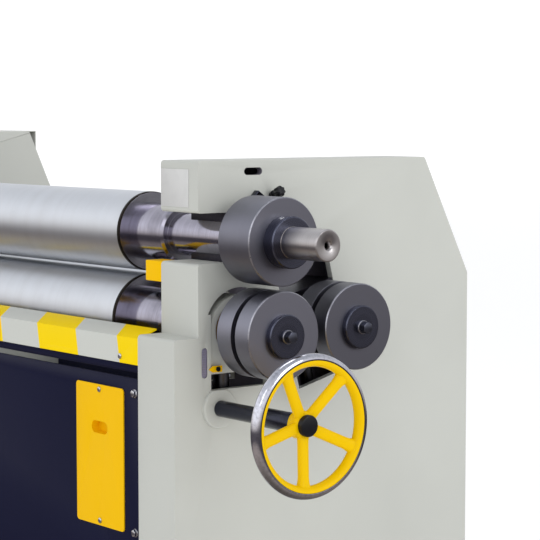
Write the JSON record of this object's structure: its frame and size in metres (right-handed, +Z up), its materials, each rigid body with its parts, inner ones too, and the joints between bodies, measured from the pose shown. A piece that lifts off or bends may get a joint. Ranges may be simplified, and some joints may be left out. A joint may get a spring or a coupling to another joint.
{
  "type": "plate bending roll",
  "caption": "Floor-standing powered three-roll sheet and plate bender with a swing-out top roll, section rolls on the shaft ends and a handwheel for the pinch roll.",
  "frame": {"origin": "on the floor, at the centre of the rectangle of the four anchor holes", "axes": "+X along the rolls towards the section rolls and the handwheel, +Y towards the rear, +Z up"},
  "size_m": [2.357, 0.869, 1.164],
  "materials": {
    "body_paint": "light grey semi-gloss machine enamel",
    "navy_paint": "dark blue semi-gloss machine enamel",
    "yellow_paint": "yellow semi-gloss enamel",
    "trim_paint": "enamel in broad slanted yellow and cream bands",
    "roll_steel": "satin ground steel with fine turning marks",
    "journal_steel": "polished dark oiled steel",
    "section_steel": "darkened turned steel with bright edges",
    "black_steel": "glossy black oxide",
    "wheel_paint": "yellow enamel spokes and a chromed rim face",
    "bright_steel": "bright zinc plated",
    "block_steel": "milled steel, oiled",
    "bronze": "plain turned bronze",
    "gear_steel": "oiled hobbed steel",
    "motor_paint": "blue-grey enamel over cast iron",
    "sign_plate": "plain anodised plate, bare",
    "red_plastic": "glossy red moulded plastic",
    "green_plastic": "glossy green moulded plastic",
    "black_plastic": "glossy black moulded plastic"
  },
  "bodies": {
    "frame": {"base_rails": "navy_paint", "base_cross_members": "navy_paint", "right_housing": "body_paint", "left_housing": "body_paint", "king_pin": "black_steel", "guard_block": "yellow_paint", "sign_plate": "sign_plate", "scale_strip": "bright_steel", "stop_lug": "black_steel", "front_trim": "trim_paint", "front_apron": "navy_paint", "access_cover": "yellow_paint", "panel_screws": "bright_steel", "apron_bolts": "bright_steel", "tie_bars": "navy_paint", "rear_cover": "navy_paint", "drive_cover": "body_paint", "jack_brackets": "block_steel", "rear_adjust_motor": "motor_paint", "control_box": "navy_paint"},
    "swing": {"top_bearing_shoe": "block_steel", "swing_yoke": "block_steel", "top_roll_bushes": "bronze"},
    "top_roll": {"top_roll": "roll_steel", "top_section_roll": "section_steel", "top_collar": "black_steel", "top_gear": "gear_steel"},
    "pinch_slide": {"pinch_blocks": "body_paint", "pinch_bushes": "bronze", "pinch_screws": "gear_steel", "gearbox": "motor_paint", "drive_motor": "motor_paint", "thickness_pointer": "yellow_paint", "pointer_screw": "black_steel"},
    "pinch_roll": {"pinch_roll": "roll_steel", "front_section_roll": "section_steel", "front_end_washer": "black_steel", "front_end_bolt": "black_steel", "pinch_gear": "gear_steel"},
    "pinch_nut_right": {"pinch_nut_right": "bronze"},
    "pinch_nut_left": {"pinch_nut_left": "bronze"},
    "rear_slide": {"rear_blocks": "block_steel", "rear_bushes": "bronze", "rear_screws": "gear_steel"},
    "rear_roll": {"rear_roll": "roll_steel", "rear_section_roll": "section_steel", "rear_end_washer": "black_steel", "rear_end_bolt": "black_steel"},
    "rear_nut_right": {"rear_nut_right": "bronze"},
    "rear_nut_left": {"rear_nut_left": "bronze"},
    "handwheel": {"handwheel": "wheel_paint", "handwheel_cap": "black_plastic", "handwheel_shaft": "black_steel"},
    "rear_cross_shaft": {"rear_cross_shaft": "gear_steel"},
    "lock_knob": {"lock_knob": "black_plastic"},
    "stop_button": {"stop_button": "red_plastic"},
    "forward_button": {"forward_button": "green_plastic"},
    "reverse_button": {"reverse_button": "black_plastic"},
    "rear_switch": {"rear_switch": "black_plastic"}
  },
  "joints": [
    {"name": "top_roll_swing", "type": "hinge", "parent": "frame", "child": "swing", "pos_m": [-0.698, -0.2385, 1.1], "axis": [0, 0, -1], "range_deg": [0, 6]},
    {"name": "top_roll_spin", "type": "hinge", "parent": "swing", "child": "top_roll", "pos_m": [1.028, -0.2385, 0.95], "axis": [1, 0, 0], "continuous": true},
    {"name": "pinch_slide", "type": "slide", "parent": "frame", "child": "pinch_slide", "axis": [0, 0, 1], "range_m": [-0.014, 0.005]},
    {"name": "pinch_roll_spin", "type": "hinge", "parent": "pinch_slide", "child": "pinch_roll", "pos_m": [1.028, -0.2385, 0.764], "axis": [1, 0, 0], "continuous": true},
    {"name": "pinch_nut_right_turn", "type": "hinge", "parent": "frame", "child": "pinch_nut_right", "pos_m": [0.965, -0.2385, 0.61], "axis": [0, 0, 1], "range_deg": [-302, 842]},
    {"name": "pinch_nut_left_turn", "type": "hinge", "parent": "frame", "child": "pinch_nut_left", "pos_m": [-0.658, -0.2385, 0.61], "axis": [0, 0, 1], "range_deg": [-302, 842]},
    {"name": "handwheel_turn", "type": "hinge", "parent": "frame", "child": "handwheel", "pos_m": [1.316, -0.2925, 0.61], "axis": [1, 0, 0], "range_deg": [-5042, 1802]},
    {"name": "rear_slide", "type": "slide", "parent": "frame", "child": "rear_slide", "axis": [0, -0.2487, 0.9686], "range_m": [-0.045, 0.095]},
    {"name": "rear_roll_spin", "type": "hinge", "parent": "rear_slide", "child": "rear_roll", "pos_m": [1.028, -0.0435, 0.77], "axis": [1, 0, 0], "continuous": true},
    {"name": "rear_shaft_turn", "type": "hinge", "parent": "frame", "child": "rear_cross_shaft", "pos_m": [1.028, 0.05854, 0.58971], "axis": [1, 0, 0], "range_deg": [-8102, 17102]},
    {"name": "rear_nut_right_turn", "type": "hinge", "parent": "frame", "child": "rear_nut_right", "pos_m": [0.965, 0.00624, 0.57628], "axis": [0, -0.2487, 0.9686], "range_deg": [-2852, 1352]},
    {"name": "rear_nut_left_turn", "type": "hinge", "parent": "frame", "child": "rear_nut_left", "pos_m": [-0.658, 0.00624, 0.57628], "axis": [0, -0.2487, 0.9686], "range_deg": [-2852, 1352]},
    {"name": "lock_knob_turn", "type": "hinge", "parent": "frame", "child": "lock_knob", "pos_m": [1.028, -0.1575, 1.034], "axis": [0.9511, 0, 0.309], "range_deg": [0, 720]},
    {"name": "stop_button_push", "type": "slide", "parent": "frame", "child": "stop_button", "axis": [0, 1, 0], "range_m": [0, 0.004], "stiffness_N_per_m": 800, "springref_m": -0.002},
    {"name": "forward_button_push", "type": "slide", "parent": "frame", "child": "forward_button", "axis": [0, 1, 0], "range_m": [0, 0.004], "stiffness_N_per_m": 800, "springref_m": -0.002},
    {"name": "reverse_button_push", "type": "slide", "parent": "frame", "child": "reverse_button", "axis": [0, 1, 0], "range_m": [0, 0.004], "stiffness_N_per_m": 800, "springref_m": -0.002},
    {"name": "rear_switch_turn", "type": "hinge", "parent": "frame", "child": "rear_switch", "pos_m": [-0.699, -0.4485, 1.04], "axis": [0, 1, 0], "range_deg": [-45, 45]}
  ],
  "couplings": [
    {"joint": "top_roll_spin", "follows": "pinch_roll_spin", "ratio": -1.1176},
    {"joint": "handwheel_turn", "follows": "pinch_slide", "rad_per_m": 6283.2},
    {"joint": "pinch_nut_right_turn", "follows": "pinch_slide", "rad_per_m": -1047.2},
    {"joint": "pinch_nut_left_turn", "follows": "pinch_slide", "rad_per_m": -1047.2},
    {"joint": "rear_shaft_turn", "follows": "rear_slide", "rad_per_m": 3141.6},
    {"joint": "rear_nut_right_turn", "follows": "rear_slide", "rad_per_m": -523.6},
    {"joint": "rear_nut_left_turn", "follows": "rear_slide", "rad_per_m": -523.6}
  ]
}
